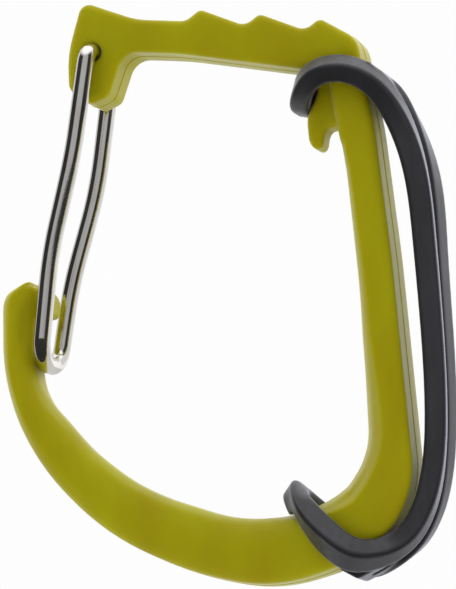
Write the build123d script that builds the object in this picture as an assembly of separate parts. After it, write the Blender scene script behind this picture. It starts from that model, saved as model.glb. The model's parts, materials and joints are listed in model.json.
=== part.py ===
from build123d import *
import os
from math import cos, radians, sin

# Gear-rack clip for a climbing harness, in millimetres.
# X points from the gate towards the spine, +Z is up the spine, Y is the thickness.
# The outlines are drawn about the middle of the D-shaped frame, at mid thickness. The
# finished pieces then move together, so that the origin is the middle of the whole clip.
DRAWING_TO_ORIGIN = (0.25, 0.0, -0.72)

# Frame body
BODY_THICKNESS = 10.0
BODY_EDGE_RADIUS = 1.2
TOOTH_COUNT = 3
TOOTH_PITCH = 10.75
TOOTH_FALL = 1.5
FIRST_TOOTH_TIP = (-3.9, 49.5)
TOOTH_VALLEY_AHEAD = (-2.6, -1.9)
TOOTH_TIP_RADIUS = 1.3
TOOTH_VALLEY_RADIUS = 2.6

# Accessory hook, a thin fin inside the top corner of the frame
HOOK_THICKNESS = 5.0
HOOK_EDGE_RADIUS = 0.7

# Nose, where the gate closes
TONGUE_THICKNESS = 6.4
TONGUE_EDGE_RADIUS = 0.6
SCOOP_CENTRE = (-32.7, 6.5, -5.0)
SCOOP_RADII = (3.1, 2.9, 5.6)

# Wire gate
WIRE_RADIUS = 1.5
PIVOT = (-23.4, 43.0)
PIVOT_CLEARANCE = 0.05
PIVOT_HOLE_FLOOR = 1.4
PIVOT_TIP = 1.8
PIVOT_BEND_RADIUS = 2.2
LEG_BEND_RADIUS = 80.0
GATE_END_RADIUS = 4.2
PIVOT_MOUTH_RADIUS = 2.1
PIVOT_MOUTH_DEPTH = 0.6
LEG_OFFSET = 6.8

# Keeper strap
STRAND_CORNER_RADIUS = 0.7
STRAP_GAP = 0.2
TOP_WEB_DEPTH = 12.4
BOTTOM_WEB_DEPTH = 6.4
WEB_EDGE_RADIUS = 0.5
SLIT_LENGTH = 4.6
SLIT_WIDTH = 1.0

# Each entry of an outline is a corner (x, z) and the radius that rounds it.
# Inner side of the spine, underside of the top bar and pivot boss.
SPINE_INNER_TO_BOSS = [
    ((24.4, -2.0), 200.0),
    ((21.8, 21.5), 100.0),
    ((19.0, 37.0), 3.0),
    ((-8.0, 42.0), 60.0),
    ((-17.9, 42.9), 3.4),
    ((-20.5, 35.2), 2.2),
    ((-23.8, 33.9), 1.8),
    ((-27.8, 36.6), 2.6),
    ((-28.1, 43.0), 20.0),
    ((-25.5, 52.3), 1.9),
    ((-15.6, 48.5), 14.0),
]

# Top right corner, outer side of the spine and outer side of the basket.
CORNER_TO_BASKET = [
    ((24.2, 42.6), 4.4),
    ((27.2, 27.5), 60.0),
    ((30.1, 5.0), 200.0),
    ((33.8, -33.0), 15.5),
    ((31.0, -41.1), 16.0),
    ((22.5, -47.2), 30.0),
    ((9.1, -51.0), 28.0),
    ((-4.8, -48.3), 64.0),
    ((-20.7, -41.2), 47.0),
    ((-32.8, -29.3), 43.0),
    ((-39.9, -15.5), 33.0),
]

# Nose block, then the inner side of the basket back to the foot of the spine.
NOSE_AND_BASKET_INNER = [
    ((-39.5, 0.6), 4.0),
    ((-33.3, 4.0), 1.5),
    ((-34.9, -15.8), 11.0),
    ((-25.2, -25.9), 49.0),
    ((-14.9, -33.7), 47.0),
    ((2.5, -39.6), 28.0),
    ((11.9, -39.2), 20.0),
    ((19.8, -36.0), 17.0),
    ((25.8, -28.9), 12.0),
]

# Hook fin, clockwise from where it leaves the top bar.
HOOK_OUTLINE = [
    ((13.5, 40.0), 0.0),
    ((17.4, 35.0), 4.0),
    ((14.7, 29.8), 4.0),
    ((15.1, 25.1), 2.0),
    ((17.4, 22.7), 0.9),
    ((18.0, 27.8), 1.2),
    ((20.6, 27.8), 1.2),
    ((21.6, 22.6), 0.0),
    ((25.0, 22.6), 0.0),
    ((25.0, 40.0), 0.0),
]

# Tongue that stands between the wire's legs and hooks over the wire's end.
TONGUE_OUTLINE = [
    ((-36.0, 2.4), 0.0),
    ((-32.9, 2.9), 1.0),
    ((-31.3, 0.6), 1.2),
    ((-31.3, -2.7), 0.7),
    ((-33.6, -2.7), 0.7),
    ((-34.3, -6.0), 0.0),
    ((-36.0, -6.0), 0.0),
]

# Bends of the wire's legs between the pivot and the gate's end, as (x, distance from
# the middle plane, z).
NEAR_LEG_BENDS = [(-26.0, 6.8, 24.6), (-30.3, 6.0, 7.6)]
FAR_LEG_BENDS = [(-26.1, 6.7, 20.8), (-30.5, 5.7, 3.8)]
GATE_END = (-32.4, 4.9, -10.9)

# Near strand of the strap: middle (x, y, z), the direction its outer face looks, and the
# size of its section, as (thickness, depth). It starts inside the frame at the top, passes
# in front of the spine, runs down outside it, passes in front of the basket's corner and
# ends inside the frame.
STRAND_STATIONS = [
    ((14.3, 0.0, 33.0), (-0.97, 0.00, 0.15), (3.4, 5.6)),
    ((14.1, -2.6, 33.3), (-0.93, -0.28, 0.24), (3.4, 5.4)),
    ((15.3, -5.2, 34.5), (-0.70, -0.58, 0.42), (3.5, 5.1)),
    ((17.9, -6.9, 36.2), (-0.30, -0.62, 0.72), (3.6, 4.9)),
    ((22.2, -7.0, 36.8), (0.05, -0.57, 0.82), (3.6, 4.8)),
    ((27.6, -5.7, 34.3), (0.50, -0.40, 0.77), (3.7, 4.7)),
    ((31.2, -4.1, 28.9), (0.80, -0.12, 0.56), (3.9, 4.6)),
    ((34.2, -3.6, 20.0), (0.96, 0.13, 0.22), (4.0, 4.6)),
    ((35.75, -2.9, 7.0), (0.98, 0.18, 0.08), (3.9, 4.4)),
    ((36.85, -2.5, -8.0), (0.98, 0.19, 0.04), (3.8, 4.2)),
    ((37.4, -2.4, -22.0), (0.98, 0.18, -0.03), (3.7, 4.1)),
    ((36.9, -2.3, -31.1), (0.97, 0.14, -0.20), (3.7, 4.0)),
    ((35.2, -2.4, -38.2), (0.90, 0.02, -0.44), (3.7, 3.9)),
    ((32.1, -2.6, -43.1), (0.62, -0.14, -0.77), (3.8, 4.0)),
    ((27.9, -3.7, -45.6), (0.22, -0.42, -0.88), (4.0, 4.5)),
    ((23.9, -6.0, -46.1), (-0.12, -0.58, -0.80), (4.1, 5.3)),
    ((19.7, -6.2, -43.3), (-0.45, -0.58, -0.68), (4.1, 5.3)),
    ((15.6, -4.9, -39.2), (-0.74, -0.50, -0.40), (3.8, 4.9)),
    ((13.2, -2.9, -36.3), (-0.86, -0.36, 0.30), (3.4, 4.0)),
    ((12.4, 0.0, -35.0), (-0.77, 0.00, 0.64), (3.5, 3.9)),
]

# Webs that join the two strands outside the frame's corners.
TOP_WEB = [
    ((25.9, 39.0), 0.8),
    ((28.5, 36.4), 6.0),
    ((30.3, 33.0), 6.0),
    ((31.4, 30.2), 0.8),
    ((29.6, 29.7), 0.8),
    ((28.6, 32.2), 5.0),
    ((26.8, 34.8), 5.0),
    ((25.6, 36.4), 0.8),
]
BOTTOM_WEB = [
    ((31.2, -45.3), 1.0),
    ((28.2, -47.8), 12.0),
    ((23.7, -49.9), 0.8),
    ((20.0, -47.9), 1.0),
    ((21.2, -45.4), 1.0),
    ((28.0, -44.4), 4.0),
    ((30.2, -43.0), 1.0),
]

# Slit along the middle of each web: its middle (x, z) and its slope in degrees.
TOP_SLIT = ((28.0, 35.9), -49.0)
BOTTOM_SLIT = ((27.2, -47.2), 24.0)


def rounded_loop(corners):
    points = [point for point, radius in corners]
    radii = [radius for point, radius in corners]
    return FilletPolyline(*points, radius=radii, close=True)


def tooth_corners():
    corners = []
    for index in range(TOOTH_COUNT):
        tip_x = FIRST_TOOTH_TIP[0] + index * TOOTH_PITCH
        tip_z = FIRST_TOOTH_TIP[1] - index * TOOTH_FALL
        valley = (tip_x + TOOTH_VALLEY_AHEAD[0], tip_z + TOOTH_VALLEY_AHEAD[1])
        corners.append((valley, TOOTH_VALLEY_RADIUS))
        corners.append(((tip_x, tip_z), TOOTH_TIP_RADIUS))
    return corners


def plate(edges, thickness):
    """Flat plate in the XZ plane, centred on Y = 0."""
    profile = Plane.XZ * make_face(edges)
    return extrude(profile, amount=thickness / 2, both=True)


def face_edges(solid, thickness):
    """Edges that lie on the two flat faces of a plate."""
    half = thickness / 2
    near = solid.edges().filter_by_position(Axis.Y, -half - 0.01, -half + 0.01)
    far = solid.edges().filter_by_position(Axis.Y, half - 0.01, half + 0.01)
    return near + far


def rounded_plate(corners, thickness, radius):
    solid = plate(rounded_loop(corners).edges(), thickness)
    return fillet(face_edges(solid, thickness), radius)


def make_frame_plate():
    corners = SPINE_INNER_TO_BOSS + tooth_corners() + CORNER_TO_BASKET + NOSE_AND_BASKET_INNER
    return rounded_plate(corners, BODY_THICKNESS, BODY_EDGE_RADIUS)


def pivot_hole(side):
    """Blind hole for one end of the wire; side is -1 for the near face and 1 for the far."""
    depth = BODY_THICKNESS / 2 - PIVOT_HOLE_FLOOR
    hole = Cylinder(WIRE_RADIUS + PIVOT_CLEARANCE, depth + 1.0)
    mouth = Cone(WIRE_RADIUS + PIVOT_CLEARANCE, PIVOT_MOUTH_RADIUS, PIVOT_MOUTH_DEPTH)
    face = side * BODY_THICKNESS / 2
    outward = Plane(origin=(PIVOT[0], face, PIVOT[1]), z_dir=(0, side, 0))
    hole = outward * Pos(0, 0, (1.0 - depth) / 2) * hole
    mouth = outward * Pos(0, 0, -PIVOT_MOUTH_DEPTH / 2) * mouth
    return hole + mouth


def nose_scoop(side):
    """Shallow hollow in the nose block beside a leg of the wire."""
    ball = scale(Sphere(1.0), by=SCOOP_RADII)
    return Pos(SCOOP_CENTRE[0], side * SCOOP_CENTRE[1], SCOOP_CENTRE[2]) * ball


def make_body():
    solid = make_frame_plate()
    solid += rounded_plate(HOOK_OUTLINE, HOOK_THICKNESS, HOOK_EDGE_RADIUS)
    solid += rounded_plate(TONGUE_OUTLINE, TONGUE_THICKNESS, TONGUE_EDGE_RADIUS)
    for side in (-1, 1):
        solid -= pivot_hole(side)
        solid -= nose_scoop(side)
    return solid


def leg_points(bends, side):
    """Middle line of one leg, from its tip in the pivot hole to the gate's end."""
    points = [(PIVOT[0], side * PIVOT_TIP, PIVOT[1])]
    points.append((PIVOT[0], side * LEG_OFFSET, PIVOT[1]))
    for x, offset, z in bends + [GATE_END]:
        points.append((x, side * offset, z))
    return points


def make_wire_gate():
    near = leg_points(NEAR_LEG_BENDS, -1)
    far = leg_points(FAR_LEG_BENDS, 1)
    points = near + far[::-1]
    leg_radii = [PIVOT_BEND_RADIUS, LEG_BEND_RADIUS, LEG_BEND_RADIUS, GATE_END_RADIUS]
    path = FilletPolyline(*points, radius=leg_radii + leg_radii[::-1])
    section = Plane(origin=path @ 0, z_dir=path % 0) * Circle(WIRE_RADIUS)
    wire = sweep(section, path=path)
    return chamfer_tips(wire)


def chamfer_tips(wire):
    tips = wire.faces().filter_by(GeomType.PLANE).edges()
    return chamfer(tips, 0.3)


def strand_section(index):
    """Rounded rectangle of the strand, square to its path."""
    middles = [Vector(*station[0]) for station in STRAND_STATIONS]
    if index == 0:
        along = Vector(0, -1, 0)
    elif index == len(middles) - 1:
        along = Vector(0, 1, 0)
    else:
        along = (middles[index + 1] - middles[index - 1]).normalized()
    outward = Vector(*STRAND_STATIONS[index][1])
    outward = (outward - along * outward.dot(along)).normalized()
    plane = Plane(origin=middles[index], x_dir=outward, z_dir=along)
    thickness, depth = STRAND_STATIONS[index][2]
    return plane * RectangleRounded(thickness, depth, STRAND_CORNER_RADIUS)


def make_strand():
    return loft([strand_section(index) for index in range(len(STRAND_STATIONS))])


def make_web(corners, depth, slit):
    web = rounded_plate(corners, depth, WEB_EDGE_RADIUS)
    (x, z), slope = slit
    along = Vector(cos(radians(slope)), 0, sin(radians(slope)))
    across = Plane(origin=(x, 0, z), x_dir=along, z_dir=along.cross(Vector(0, 1, 0)))
    cutter = extrude(across * SlotOverall(SLIT_LENGTH, SLIT_WIDTH), amount=4.0, both=True)
    return web - cutter


def frame_clearance():
    """Space the strap leaves for the frame, which it presses against flat."""
    corners = SPINE_INNER_TO_BOSS + tooth_corners() + CORNER_TO_BASKET + NOSE_AND_BASKET_INNER
    space = plate(rounded_loop(corners).edges(), BODY_THICKNESS + 2 * STRAP_GAP)
    hook_space = plate(rounded_loop(HOOK_OUTLINE).edges(), HOOK_THICKNESS + 2 * STRAP_GAP)
    return space + hook_space


def make_strap():
    strand = make_strand()
    strap = strand + mirror(strand, Plane.XZ)
    strap += make_web(TOP_WEB, TOP_WEB_DEPTH, TOP_SLIT)
    strap += make_web(BOTTOM_WEB, BOTTOM_WEB_DEPTH, BOTTOM_SLIT)
    return strap - frame_clearance()


def main():
    os.makedirs("parts", exist_ok=True)
    pieces = {
        "body": make_body(),
        "wire_gate": make_wire_gate(),
        "keeper_strap": make_strap(),
    }
    for name, piece in pieces.items():
        export_step(Pos(*DRAWING_TO_ORIGIN) * piece, f"parts/{name}.step")


main()
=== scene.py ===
import itertools
import json
import math

import bmesh
import bpy
import numpy as np
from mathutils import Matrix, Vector


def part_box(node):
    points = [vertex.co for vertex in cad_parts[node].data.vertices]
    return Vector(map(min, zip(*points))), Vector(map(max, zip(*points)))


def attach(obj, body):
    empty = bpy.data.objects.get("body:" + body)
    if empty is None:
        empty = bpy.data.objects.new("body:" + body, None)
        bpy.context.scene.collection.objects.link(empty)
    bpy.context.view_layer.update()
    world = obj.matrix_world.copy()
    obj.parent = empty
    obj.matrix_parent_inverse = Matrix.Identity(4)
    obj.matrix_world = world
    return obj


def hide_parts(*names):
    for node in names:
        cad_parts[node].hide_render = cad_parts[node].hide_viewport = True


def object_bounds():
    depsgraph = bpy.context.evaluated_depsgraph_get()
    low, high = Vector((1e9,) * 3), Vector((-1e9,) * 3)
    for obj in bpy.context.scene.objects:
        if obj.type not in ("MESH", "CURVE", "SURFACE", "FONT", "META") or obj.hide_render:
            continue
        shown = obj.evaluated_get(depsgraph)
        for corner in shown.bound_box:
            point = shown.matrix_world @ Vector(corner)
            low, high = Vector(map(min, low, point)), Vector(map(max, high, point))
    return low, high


MM = 0.001

# Camera, at the photograph's viewing angle. Lens and sensor in millimetres, distances in metres.
CAMERA_AZIMUTH = math.radians(17.5)
CAMERA_ELEVATION = math.radians(-9.0)
CAMERA_DISTANCE = 0.8
CAMERA_LENS = 285.0
CAMERA_SENSOR = 36.0
CAMERA_CLIP_START = 0.01
CAMERA_TARGET = Vector((0.25, 0.0, -0.72)) * MM

# Floor, in metres. Its tone in gloss holds only in front of the object.
FLOOR_DROP = 0.2
FLOOR_RADIUS = 3.0
FLOOR_SIDES = 96
FLOOR_TONE = 0.62
FLOOR_TONE_IN_GLOSS = 0.03

# What the camera sees behind the object.
BACKDROP = 0.985
# What gloss sees at eye level: (share of the way round from behind the object, brightness).
# 0.5 is the camera's side.
PANELS = [(0.00, 0.8), (0.17, 0.8), (0.20, 0.03), (0.375, 0.03), (0.395, 0.52), (0.57, 0.52),
          (0.59, 0.03), (0.70, 0.03), (0.73, 0.9), (0.87, 0.9), (0.885, 1.25), (0.925, 1.25),
          (0.94, 0.8), (1.00, 0.8)]
# What gloss sees overhead, and where it fades in: 0 is level and 1 is straight up.
OVERHEAD = 1.4
OVERHEAD_STARTS = 0.55
OVERHEAD_IS_FULL = 0.85

# Soft light: the same all round, plus more from above, from behind and from the spine's side.
LIGHT_ALL_ROUND = 1.06
LIGHT_FROM_ABOVE = 0.25
LIGHT_FROM_BEHIND = 0.74
LIGHT_FROM_RIGHT = 0.2

# Most of a noise's values lie between these, so colours and roughness are spread over them.
# A noise's scale is the number of its features in a metre, along each axis.
NOISE_LOW = 0.3
NOISE_HIGH = 0.7

# How outlines are read from the CAD meshes: points closer than this, in metres, are one point,
# and outlines join where they agree to this many digits of a millimetre.
MERGE_DISTANCE = 1e-7
JOIN_DIGITS = 4
# Keeps a length that is divided by from being zero.
TINY = 1e-12

# Moulded frame: the finer shape that its visible mesh has. Millimetres, unless named otherwise.
GRID_STEP = 0.3
GRID_MARGIN = 1.2
HALF_THICKNESS = 5.0
# The bar's outline is read at this height, where neither the hook nor the tongue reaches.
SECTION_HEIGHT = 3.5
# The inner side's own round ends at this height. Above it, the bar has the plain outer round.
INNER_SIDE_TOP = 25
EDGE_RADIUS = 1.1
OUTER_ROUND = 2.0
SIDE_BLEND = 0.3
# How far the faces fall from the middle of the bar's width to its sides.
CROWN = 0.3
# The hook and the tongue, which are thinner than the bar. Rounding counts passes.
HOOK_HALF_THICKNESS = 2.5
TONGUE_HALF_THICKNESS = 3.2
FIN_EDGE_RADIUS = 0.9
FIN_ROUNDING = 8
FIN_SETBACK = 1.2
FIN_BLEND = 1.2
PIVOT_HOLE_RADIUS = 1.6
PIVOT_MOUTH_FLARE = 0.9
PIVOT_HOLE_FLOOR = 1.4
SCOOP_CENTRE = (-32.45, 6.5, -5.72)
SCOOP_RADII = (5.0, 3.0, 7.0)
SCOOP_BLEND = 0.4
PARTING_LINE_RADIUS = 0.1
PARTING_LINE_SIDES = 6

# The lists below go round the D by the angle at its middle: 0 degrees is at the spine, 90 at
# the top bar and -90 at the basket. The angle is cut in the gate's gap, where there is no bar.
ANGLE_CUT = 150
# Share of the bar's width that the round of its inner side takes, and that round's limits.
INNER_ROUND = [(-180, 0.42), (-165, 0.50), (-150, 0.66), (-110, 0.68), (-70, 0.62), (-50, 0.40),
               (-30, 0.30), (0, 0.25), (30, 0.25), (180, 0.30)]
INNER_ROUND_LEAST = 1.2
INNER_ROUND_MOST = 9.0
# How far down the inner side that round reaches.
INNER_DROP = [(-180, 3.4), (-150, 4.6), (-75, 4.6), (-55, 2.0), (0, 1.3)]
# How far the inner side stands in, and the outer side out, from the CAD outline.
INNER_GROWTH = [(-172, 0.0), (-161, 0.4), (-151, 1.0), (-142, 0.9), (-131, 0.5), (-115, 0.3),
                (-90, 0.45), (-50, 0.85), (-30, 0.5), (0, 0.2), (40, 0.0)]
OUTER_GROWTH = [(-186, 0.5), (-181, 0.8), (-177, 0.45), (-170, 0.3), (-155, 0.0)]
# Width of the inner edge's bevel, its slope, and the most of the bar's width that it takes.
INNER_BEVEL = [(-78, 0.1), (-58, 4.6), (-38, 3.8), (-20, 2.4), (30, 1.5), (60, 0.8)]
INNER_BEVEL_SLOPE = 0.85
INNER_BEVEL_SHARE = 0.6
# Depth of the outer edge's bevel, its share of the bar's width, and its least width.
OUTER_BEVEL = [(-180, 0.8), (-160, 1.0), (-75, 1.0), (-45, 0.0)]
OUTER_BEVEL_SHARE = 0.3
OUTER_BEVEL_LEAST = 0.5

# Rubber strap: its visible mesh.
STRAP_VOXEL = 0.22
STRAP_SMOOTHING = 7
STRAP_SMOOTHING_FACTOR = 0.5


class Nodes:
    """Short way to build a node tree."""

    def __init__(self, tree):
        self.tree = tree
        self.tree.nodes.clear()

    def add(self, kind, inputs=None, **settings):
        node = self.tree.nodes.new(kind)
        for name, value in settings.items():
            setattr(node, name, value)
        for key, value in (inputs or {}).items():
            self.put(node.inputs[key], value)
        return node

    def put(self, socket, value):
        if isinstance(value, bpy.types.NodeSocket):
            self.tree.links.new(value, socket)
        elif isinstance(value, bpy.types.Node):
            self.tree.links.new(value.outputs[0], socket)
        else:
            socket.default_value = value

    def math(self, operation, a, b):
        return self.add("ShaderNodeMath", {0: a, 1: b}, operation=operation)

    def ramp(self, factor, stops, interpolation="LINEAR"):
        node = self.add("ShaderNodeValToRGB", {0: factor})
        node.color_ramp.interpolation = interpolation
        elements = node.color_ramp.elements
        while len(elements) < len(stops):
            elements.new(1.0)
        for element, (position, color) in zip(elements, stops):
            element.position = position
            element.color = color
        return node

    def noise(self, place, scale, detail):
        stretched = self.add("ShaderNodeMapping", {"Vector": place, "Scale": scale})
        node = self.add("ShaderNodeTexNoise", {"Vector": stretched, "Scale": 1.0, "Detail": detail})
        return node.outputs["Fac"]

    def spread_color(self, noise, dark, light):
        return self.ramp(noise, [(NOISE_LOW, dark), (NOISE_HIGH, light)])

    def spread_value(self, noise, low, high):
        return self.add("ShaderNodeMapRange", {
            "Value": noise,
            "From Min": NOISE_LOW,
            "From Max": NOISE_HIGH,
            "To Min": low,
            "To Max": high,
        })


def grey(value):
    return (value, value, value, 1.0)


def view_direction():
    """From the object towards the camera."""
    level = math.cos(CAMERA_ELEVATION)
    return Vector((
        math.sin(CAMERA_AZIMUTH) * level,
        -math.cos(CAMERA_AZIMUTH) * level,
        math.sin(CAMERA_ELEVATION),
    ))


def make_camera():
    camera = bpy.data.objects.new("camera", bpy.data.cameras.new("camera"))
    bpy.context.scene.collection.objects.link(camera)
    camera.data.lens = CAMERA_LENS
    camera.data.sensor_width = CAMERA_SENSOR
    camera.data.clip_start = CAMERA_CLIP_START
    camera.location = CAMERA_TARGET + view_direction() * CAMERA_DISTANCE
    camera.rotation_euler = (-view_direction()).to_track_quat("-Z", "Y").to_euler()
    bpy.context.scene.camera = camera


def gloss_light(nodes, direction):
    """What gloss sees: light panels with dark flags between them, and a bright ceiling."""
    toward = nodes.math("MULTIPLY", direction.outputs["Y"], -1.0)
    angle = nodes.math("ARCTAN2", direction.outputs["X"], toward)
    turn = nodes.math("ADD", nodes.math("DIVIDE", angle, 2 * math.pi), 0.5)
    panels = nodes.ramp(turn, [(share, grey(tone)) for share, tone in PANELS])
    stops = [(OVERHEAD_STARTS, grey(0.0)), (OVERHEAD_IS_FULL, grey(1.0))]
    up = nodes.ramp(direction.outputs["Z"], stops, "EASE")
    mixed = nodes.add("ShaderNodeMix", {"Factor": up, "A": panels, "B": grey(OVERHEAD)},
                      data_type="RGBA")
    return mixed.outputs["Result"]


def soft_light(nodes, direction):
    """Brightness for all other rays. It changes evenly from one side to the other."""
    above = nodes.math("MULTIPLY", direction.outputs["Z"], LIGHT_FROM_ABOVE)
    behind = nodes.math("MULTIPLY", direction.outputs["Y"], LIGHT_FROM_BEHIND)
    right = nodes.math("MULTIPLY", direction.outputs["X"], LIGHT_FROM_RIGHT)
    around = nodes.math("ADD", right, LIGHT_ALL_ROUND)
    return nodes.math("ADD", nodes.math("ADD", above, behind), around)


def make_world():
    """White studio. The camera sees a plain backdrop, gloss sees the panels, and the soft light
    is strongest from behind the object. All of it is turned with the camera."""
    world = bpy.data.worlds.new("studio")
    bpy.context.scene.world = world
    world.use_nodes = True
    nodes = Nodes(world.node_tree)
    place = nodes.add("ShaderNodeTexCoord").outputs["Generated"]
    turned = nodes.add("ShaderNodeVectorRotate", {"Vector": place, "Angle": -CAMERA_AZIMUTH},
                       rotation_type="Z_AXIS")
    direction = nodes.add("ShaderNodeSeparateXYZ", {0: turned})
    path = nodes.add("ShaderNodeLightPath").outputs
    light = nodes.add("ShaderNodeMix", {
        "Factor": path["Is Glossy Ray"],
        "A": soft_light(nodes, direction),
        "B": gloss_light(nodes, direction),
    }, data_type="RGBA")
    studio = nodes.add("ShaderNodeBackground", {"Color": light.outputs["Result"], "Strength": 1.0})
    plain = nodes.add("ShaderNodeBackground", {"Color": grey(BACKDROP), "Strength": 1.0})
    mixed = nodes.add("ShaderNodeMixShader", {0: path["Is Camera Ray"], 1: studio, 2: plain})
    nodes.add("ShaderNodeOutputWorld", {0: mixed})


def new_material(name):
    """New material: (material, its empty node tree, place on the object)."""
    material = bpy.data.materials.new(name)
    material.use_nodes = True
    nodes = Nodes(material.node_tree)
    return material, nodes, nodes.add("ShaderNodeTexCoord").outputs["Object"]


def make_floor():
    """Pale floor below the object. In front of the object, gloss sees it dark, like a
    photographer's black card, so that the lower end of the wire has a dark side."""
    bpy.ops.mesh.primitive_circle_add(vertices=FLOOR_SIDES, radius=FLOOR_RADIUS, fill_type="NGON",
                                      location=(0, 0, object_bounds()[0][2] - FLOOR_DROP))
    floor = bpy.context.object
    floor.name = "floor"
    material, nodes, place = new_material("floor")
    pale = nodes.add("ShaderNodeBsdfDiffuse", {"Color": grey(FLOOR_TONE)})
    dark = nodes.add("ShaderNodeBsdfDiffuse", {"Color": grey(FLOOR_TONE_IN_GLOSS)})
    across = nodes.add("ShaderNodeSeparateXYZ", {0: place}).outputs["Y"]
    in_front = nodes.math("LESS_THAN", across, 0.0)
    gloss = nodes.add("ShaderNodeLightPath").outputs["Is Glossy Ray"]
    share = nodes.math("MULTIPLY", in_front, gloss)
    mixed = nodes.add("ShaderNodeMixShader", {0: share, 1: pale, 2: dark})
    nodes.add("ShaderNodeOutputMaterial", {0: mixed})
    floor.data.materials.append(material)


def make_frame_plastic():
    """Satin, slightly translucent yellow-green moulding with faint flow marks."""
    material, nodes, place = new_material("frame_plastic")
    flow = nodes.noise(place, scale=(90, 90, 40), detail=3)
    grain = nodes.noise(place, scale=(900, 900, 900), detail=4)
    scuffs = nodes.noise(place, scale=(2500, 2500, 160), detail=2)
    height = nodes.math("ADD", nodes.math("MULTIPLY", scuffs, 0.6), grain)
    shader = nodes.add("ShaderNodeBsdfPrincipled", {
        "Base Color": nodes.spread_color(flow, (0.41, 0.35, 0.001, 1), (0.47, 0.45, 0.003, 1)),
        "Roughness": nodes.spread_value(grain, 0.30, 0.40),
        "Normal": nodes.add("ShaderNodeBump", {"Height": height, "Strength": 0.06,
                                               "Distance": 0.03 * MM}),
        "Specular IOR Level": 0.08,
        "Subsurface Weight": 0.6,
        "Subsurface Radius": (1.0, 0.85, 0.08),
        "Subsurface Scale": 2.5 * MM,
        "Sheen Weight": 0.7,
        "Sheen Roughness": 0.35,
        "Sheen Tint": (1.0, 1.0, 0.78, 1),
    })
    nodes.add("ShaderNodeOutputMaterial", {0: shader})
    return material


def make_gate_wire():
    """Polished stainless wire with fine draw lines along it."""
    material, nodes, place = new_material("gate_wire")
    lines = nodes.noise(place, scale=(4000, 4000, 60), detail=2)
    patches = nodes.noise(place, scale=(300, 300, 120), detail=3)
    shader = nodes.add("ShaderNodeBsdfPrincipled", {
        "Base Color": nodes.spread_color(patches, (0.62, 0.60, 0.57, 1), (0.76, 0.74, 0.71, 1)),
        "Metallic": 1.0,
        "Roughness": nodes.spread_value(patches, 0.09, 0.17),
        "Normal": nodes.add("ShaderNodeBump", {"Height": lines, "Strength": 0.08,
                                               "Distance": 0.01 * MM}),
    })
    nodes.add("ShaderNodeOutputMaterial", {0: shader})
    return material


def make_strap_rubber():
    """Black rubber with a soft sheen, faint mould streaks and a dusty bloom."""
    material, nodes, place = new_material("strap_rubber")
    streaks = nodes.noise(place, scale=(1400, 1400, 50), detail=3)
    bloom = nodes.noise(place, scale=(220, 220, 110), detail=4)
    grain = nodes.noise(place, scale=(3000, 3000, 3000), detail=2)
    height = nodes.math("ADD", nodes.math("MULTIPLY", streaks, 0.7),
                        nodes.math("MULTIPLY", grain, 0.3))
    shader = nodes.add("ShaderNodeBsdfPrincipled", {
        "Base Color": nodes.spread_color(bloom, (0.020, 0.019, 0.021, 1), (0.031, 0.030, 0.034, 1)),
        "Roughness": nodes.spread_value(streaks, 0.30, 0.44),
        "Normal": nodes.add("ShaderNodeBump", {"Height": height, "Strength": 0.12,
                                               "Distance": 0.03 * MM}),
        "Specular IOR Level": 0.6,
        "Specular Tint": (0.9, 0.92, 1.0, 1),
        "Sheen Weight": 1.0,
        "Sheen Roughness": 0.25,
        "Sheen Tint": (0.82, 0.84, 1.0, 1),
    })
    nodes.add("ShaderNodeOutputMaterial", {0: shader})
    return material


def section_segments(node, height):
    """Segments (x1, z1, x2, z2), in millimetres, where a plane at y = height cuts a node."""
    mesh = bmesh.new()
    mesh.from_mesh(frame["nodes"][node].data)
    bmesh.ops.remove_doubles(mesh, verts=mesh.verts, dist=MERGE_DISTANCE)
    geometry = mesh.verts[:] + mesh.edges[:] + mesh.faces[:]
    cut = bmesh.ops.bisect_plane(mesh, geom=geometry, plane_co=(0, height * MM, 0),
                                 plane_no=(0, 1, 0))
    edges = [item for item in cut["geom_cut"] if isinstance(item, bmesh.types.BMEdge)]
    segments = [[v.co[axis] / MM for v in edge.verts for axis in (0, 2)] for edge in edges]
    mesh.free()
    return np.array(segments)


def meeting_place(point):
    """A point, rounded so that it is the same for two segments that meet there."""
    return tuple(round(value, JOIN_DIGITS) for value in point)


def take_loop(segments, at_place, left):
    """One outline, head to tail. Its segments are taken from those that are left."""
    loop = [tuple(segments[left.pop()])]
    while True:
        tip = meeting_place(loop[-1][2:])
        following = [index for index in at_place[tip] if index in left]
        if not following:
            return loop
        left.discard(following[0])
        x1, z1, x2, z2 = segments[following[0]]
        in_order = meeting_place((x1, z1)) == tip
        loop.append((x1, z1, x2, z2) if in_order else (x2, z2, x1, z1))


def loop_length(loop):
    return sum(math.hypot(x2 - x1, z2 - z1) for x1, z1, x2, z2 in loop)


def longest_loop(segments):
    """The segments of the longest closed outline, in order and head to tail."""
    at_place = {}
    for index, segment in enumerate(segments):
        for point in (segment[:2], segment[2:]):
            at_place.setdefault(meeting_place(point), []).append(index)
    left = set(range(len(segments)))
    loops = []
    while left:
        loops.append(take_loop(segments, at_place, left))
    return np.array(max(loops, key=loop_length))


def distance_to(segments, x, z):
    """Distance from every grid point to the nearest of the segments."""
    nearest = np.full(x.shape, np.inf)
    for x1, z1, x2, z2 in segments:
        along_x, along_z = x2 - x1, z2 - z1
        length = max(along_x ** 2 + along_z ** 2, TINY)
        share = np.clip(((x - x1) * along_x + (z - z1) * along_z) / length, 0, 1)
        gap = (x - x1 - share * along_x) ** 2 + (z - z1 - share * along_z) ** 2
        np.minimum(nearest, gap, out=nearest)
    return np.sqrt(nearest)


def is_inside(loop, x, z):
    inside = np.zeros(x.shape, bool)
    for x1, z1, x2, z2 in loop:
        if z1 == z2:
            continue
        crosses = (z1 > z) != (z2 > z)
        inside ^= crosses & (x < (x2 - x1) * (z - z1) / (z2 - z1) + x1)
    return inside


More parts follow.
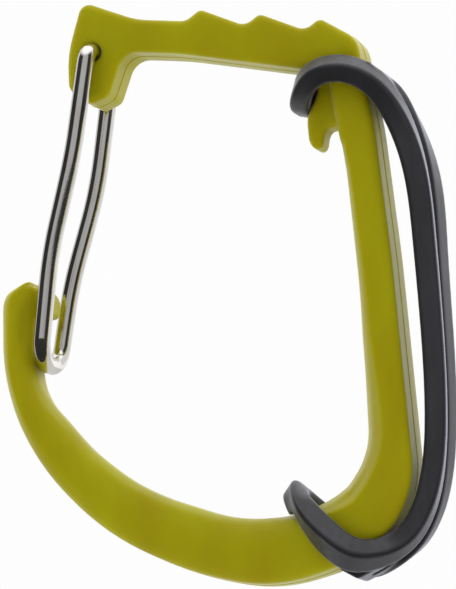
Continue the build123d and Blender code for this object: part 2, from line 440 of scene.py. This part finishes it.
def is_inner_side(bar):
    """Which of the outline's segments face the middle of the D, up to the inner side's top."""
    middle = (bar[:, :2] + bar[:, 2:]) / 2
    along = bar[:, 2:] - bar[:, :2]
    turn = np.sign(np.sum(bar[:, 0] * bar[:, 3] - bar[:, 2] * bar[:, 1]))
    outward = turn * np.stack([along[:, 1], -along[:, 0]], axis=1)
    return (np.sum(outward * -middle, axis=1) > 0) & (middle[:, 1] < INNER_SIDE_TOP)


def by_angle(stops, angle):
    return np.interp(angle, [stop[0] for stop in stops], [stop[1] for stop in stops])


def softened(values, passes):
    """The values of a flat grid, averaged with their neighbours a few times."""
    for _ in range(passes):
        for axis in (0, 1):
            values = 0.5 * values + 0.25 * (np.roll(values, 1, axis) + np.roll(values, -1, axis))
    return values


def rounded_edge(height, depth, half, across, down):
    """Field, at one height, of a slab whose edge is a quarter ellipse: negative inside."""
    side = np.maximum(across - depth, 0) / across
    face = np.maximum(height - (half - down), 0) / down
    return (np.sqrt(side ** 2 + face ** 2) - 1) * np.minimum(across, down)


def smooth_union(a, b, blend):
    """Field of what lies in either solid, with the seam rounded."""
    share = np.clip(0.5 + 0.5 * (b - a) / blend, 0, 1)
    return b + (a - b) * share - blend * share * (1 - share)


def smooth_cut(a, b, blend):
    """Field of what lies in both solids, with the seam rounded."""
    return -smooth_union(-a, -b, blend)


def inner_slab(depth, angle, width, crown):
    """The bar's inner side, as rounded_edge takes it: depth, half thickness, across and down."""
    across = by_angle(INNER_ROUND, angle) * width
    across = np.clip(across, INNER_ROUND_LEAST, INNER_ROUND_MOST)
    down = np.minimum(by_angle(INNER_DROP, angle), across)
    bevel = np.minimum(by_angle(INNER_BEVEL, angle), INNER_BEVEL_SHARE * width)
    drop = crown + INNER_BEVEL_SLOPE * np.maximum(bevel - depth, 0)
    return depth, HALF_THICKNESS - drop, across, down


def outer_slab(depth, angle, width, crown):
    """The bar's outer side, as rounded_edge takes it."""
    bevel = np.maximum(OUTER_BEVEL_SHARE * width, OUTER_BEVEL_LEAST)
    drop = crown + by_angle(OUTER_BEVEL, angle) * np.maximum(bevel - depth, 0) / bevel
    return depth, HALF_THICKNESS - drop, OUTER_ROUND, EDGE_RADIUS


def fin_slab(x, z, to_bar):
    """The hook and the tongue, as rounded_edge takes them. They stand out of the bar. Where
    they have no outline of their own, their slab is set back, so that it stays hidden in it."""
    whole = longest_loop(section_segments("body", 0.0))
    to_whole = distance_to(whole, x, z) * np.where(is_inside(whole, x, z), -1, 1)
    to_whole = softened(to_whole, FIN_ROUNDING)
    own = np.clip(np.abs(to_whole - to_bar) / FIN_SETBACK, 0, 1)
    depth = -(to_whole + FIN_SETBACK * (1 - own))
    half = np.where(x < 0, TONGUE_HALF_THICKNESS, HOOK_HALF_THICKNESS)
    return depth, half, FIN_EDGE_RADIUS, FIN_EDGE_RADIUS


def frame_slabs(x, z):
    """The slabs of the bar's inner side, of its outer side, and of the hook and the tongue."""
    bar = longest_loop(section_segments("body", SECTION_HEIGHT))
    inner = is_inner_side(bar)
    inside = is_inside(bar, x, z)
    to_inner = distance_to(bar[inner], x, z)
    to_outer = distance_to(bar[~inner], x, z)
    to_bar = np.minimum(to_inner, to_outer) * np.where(inside, -1, 1)
    beyond_inner = ~inside & (to_inner < to_outer)
    beyond_outer = ~inside & ~beyond_inner
    angle = np.degrees(np.arctan2(z, x))
    angle = np.where(angle > ANGLE_CUT, angle - 360, angle)
    depth_in = np.where(beyond_inner, -to_inner, to_inner) + by_angle(INNER_GROWTH, angle)
    depth_out = np.where(beyond_outer, -to_outer, to_outer) + by_angle(OUTER_GROWTH, angle)
    width = to_inner + to_outer
    crown = CROWN * np.clip((depth_out - depth_in) / width, -1, 1) ** 2
    return (inner_slab(depth_in, angle, width, crown), outer_slab(depth_out, angle, width, crown),
            fin_slab(x, z, to_bar))


def scoop(x, y, z):
    """Field of the shallow hollow beside each leg of the wire."""
    offsets = [(value - centre) / radius for value, centre, radius
               in zip((x, y, z), SCOOP_CENTRE, SCOOP_RADII)]
    return (np.sqrt(sum(offset ** 2 for offset in offsets)) - 1) * min(SCOOP_RADII)


def frame_field(low, counts):
    """Field of the moulded frame on the grid: bar, hook, tongue, scoops and pivot holes."""
    xs, ys, zs = (low[axis] + GRID_STEP * np.arange(counts[axis]) for axis in range(3))
    x, z = np.meshgrid(xs, zs, indexing="ij")
    inner, outer, fin = frame_slabs(x, z)
    pivot = np.array(frame["record"]["behaviour"]["joints"][0]["pos_m"]) / MM
    from_pivot = np.hypot(x - pivot[0], z - pivot[2])
    field = np.empty(counts)
    for index, y in enumerate(np.abs(ys)):
        solid = smooth_cut(rounded_edge(y, *inner), rounded_edge(y, *outer), SIDE_BLEND)
        solid = smooth_union(solid, rounded_edge(y, *fin), FIN_BLEND)
        solid = smooth_cut(solid, -scoop(x, y, z), SCOOP_BLEND)
        hole = np.maximum(from_pivot - PIVOT_HOLE_RADIUS, PIVOT_HOLE_FLOOR - y)
        field[:, index, :] = smooth_cut(solid, -hole, PIVOT_MOUTH_FLARE)
    return field


def surface_net(field, low, step):
    """Closed mesh of the zero level of a sampled field: (points, quads)."""
    size = np.array(field.shape) - 1
    corners = {}
    for offset in itertools.product((0, 1), repeat=3):
        corners[offset] = field[tuple(slice(o, o + s) for o, s in zip(offset, size))]
    count = sum((values < 0).astype(np.int8) for values in corners.values())
    crossed = (count > 0) & (count < len(corners))
    cells = np.argwhere(crossed)
    number = np.full(size, -1)
    number[crossed] = np.arange(len(cells))
    return low + step * (cells + net_points(corners, crossed)), net_quads(field, number)


def net_points(corners, crossed):
    """In each crossed cell, the middle of the points where the level cuts the cell's edges."""
    total = np.zeros((np.count_nonzero(crossed), 3))
    hits = np.zeros(len(total))
    for offset in corners:
        for axis in range(3):
            if offset[axis]:
                continue
            step = np.eye(3, dtype=int)[axis]
            a = corners[offset][crossed]
            b = corners[tuple(offset + step)][crossed]
            cut = (a < 0) != (b < 0)
            share = np.where(cut, a / np.where(cut, a - b, 1), 0)
            point = offset + share[:, None] * step
            total[cut] += point[cut]
            hits += cut
    return total / hits[:, None]


def net_quads(field, number):
    """A quad round every edge of the grid that the level cuts, with its face outwards."""
    quads = []
    steps = np.eye(3, dtype=int)
    for axis in range(3):
        u, v = (axis + 1) % 3, (axis + 2) % 3
        change = np.diff((field < 0).astype(np.int8), axis=axis)
        edges = np.argwhere(change)
        edges = edges[(edges[:, u] > 0) & (edges[:, v] > 0)]
        edges = edges[(edges[:, u] < number.shape[u]) & (edges[:, v] < number.shape[v])]
        around = [edges - steps[u] - steps[v], edges - steps[v], edges, edges - steps[u]]
        quad = np.stack([number[tuple(cell.T)] for cell in around], axis=1)
        outward = change[tuple(edges.T)] < 0
        quads.append(np.where(outward[:, None], quad, quad[:, ::-1]))
    return np.concatenate(quads)


def mesh_piece(name, points, quads, material):
    mesh = bpy.data.meshes.new(name)
    mesh.from_pydata((points * MM).tolist(), [], quads.tolist())
    mesh.shade_smooth()
    mesh.materials.append(material)
    piece = bpy.data.objects.new(name, mesh)
    bpy.context.scene.collection.objects.link(piece)
    return piece


def make_frame_mesh(material):
    low, high = (np.array(corner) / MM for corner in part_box("body"))
    low = low - GRID_MARGIN
    counts = np.ceil((high + GRID_MARGIN - low) / GRID_STEP).astype(int) + 1
    # The grid is symmetrical about the middle plane, so that both faces are alike.
    low[1] = -(counts[1] - 1) / 2 * GRID_STEP
    points, quads = surface_net(frame_field(low, counts), low, GRID_STEP)
    piece = mesh_piece("frame_moulding", points, quads, material)
    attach(piece, "frame")
    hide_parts("body")


def make_parting_line(material):
    """Fine raised line that the two halves of the mould leave round the frame's walls. Where a
    wall of the visible mesh stands out past the CAD outline, the line is hidden in it."""
    loop = longest_loop(section_segments("body", SECTION_HEIGHT))[:, :2]
    along = np.roll(loop, -1, axis=0) - np.roll(loop, 1, axis=0)
    along /= np.maximum(np.linalg.norm(along, axis=1), TINY)[:, None]
    count = len(loop)
    here = np.arange(count)
    after = (here + 1) % count
    points = []
    quads = []
    for side in range(PARTING_LINE_SIDES):
        turn = 2 * math.pi * side / PARTING_LINE_SIDES
        out = PARTING_LINE_RADIUS * math.cos(turn)
        height = np.full(count, PARTING_LINE_RADIUS * math.sin(turn))
        points.append(np.stack([loop[:, 0] + out * along[:, 1], height,
                                loop[:, 1] - out * along[:, 0]], axis=1))
        low, high = side * count, (side + 1) % PARTING_LINE_SIDES * count
        quads.append(np.stack([low + here, low + after, high + after, high + here], axis=1))
    piece = mesh_piece("parting_line", np.concatenate(points), np.concatenate(quads), material)
    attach(piece, "frame")


def make_strap_mesh(material):
    """The strap with the soft, crowned section of moulded rubber."""
    source = frame["nodes"]["keeper_strap"]
    piece = bpy.data.objects.new("strap_rubber_moulding", source.data.copy())
    bpy.context.scene.collection.objects.link(piece)
    piece.data.materials.clear()
    piece.data.materials.append(material)
    remesh = piece.modifiers.new("remesh", "REMESH")
    remesh.mode = "VOXEL"
    remesh.voxel_size = STRAP_VOXEL * MM
    soften = piece.modifiers.new("soften", "SMOOTH")
    soften.factor = STRAP_SMOOTHING_FACTOR
    soften.iterations = STRAP_SMOOTHING
    depsgraph = bpy.context.evaluated_depsgraph_get()
    result = bpy.data.meshes.new_from_object(piece.evaluated_get(depsgraph))
    piece.modifiers.clear()
    piece.data = result
    result.shade_smooth()
    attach(piece, "frame")
    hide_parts("keeper_strap")


def dress(node, material):
    mesh = frame["nodes"][node].data
    mesh.materials.clear()
    mesh.materials.append(material)


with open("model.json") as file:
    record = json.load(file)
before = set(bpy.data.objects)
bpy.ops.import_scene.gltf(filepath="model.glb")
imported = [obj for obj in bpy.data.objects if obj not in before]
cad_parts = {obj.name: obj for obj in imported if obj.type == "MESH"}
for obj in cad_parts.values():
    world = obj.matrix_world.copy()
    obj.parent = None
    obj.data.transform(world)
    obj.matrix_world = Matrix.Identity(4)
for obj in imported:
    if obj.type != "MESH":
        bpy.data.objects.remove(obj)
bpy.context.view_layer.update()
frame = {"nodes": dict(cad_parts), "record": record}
bpy.context.scene.view_settings.view_transform = "Standard"
make_camera()
make_world()
make_floor()
plastic = make_frame_plastic()
make_frame_mesh(plastic)
make_parting_line(plastic)
dress("wire_gate", make_gate_wire())
make_strap_mesh(make_strap_rubber())
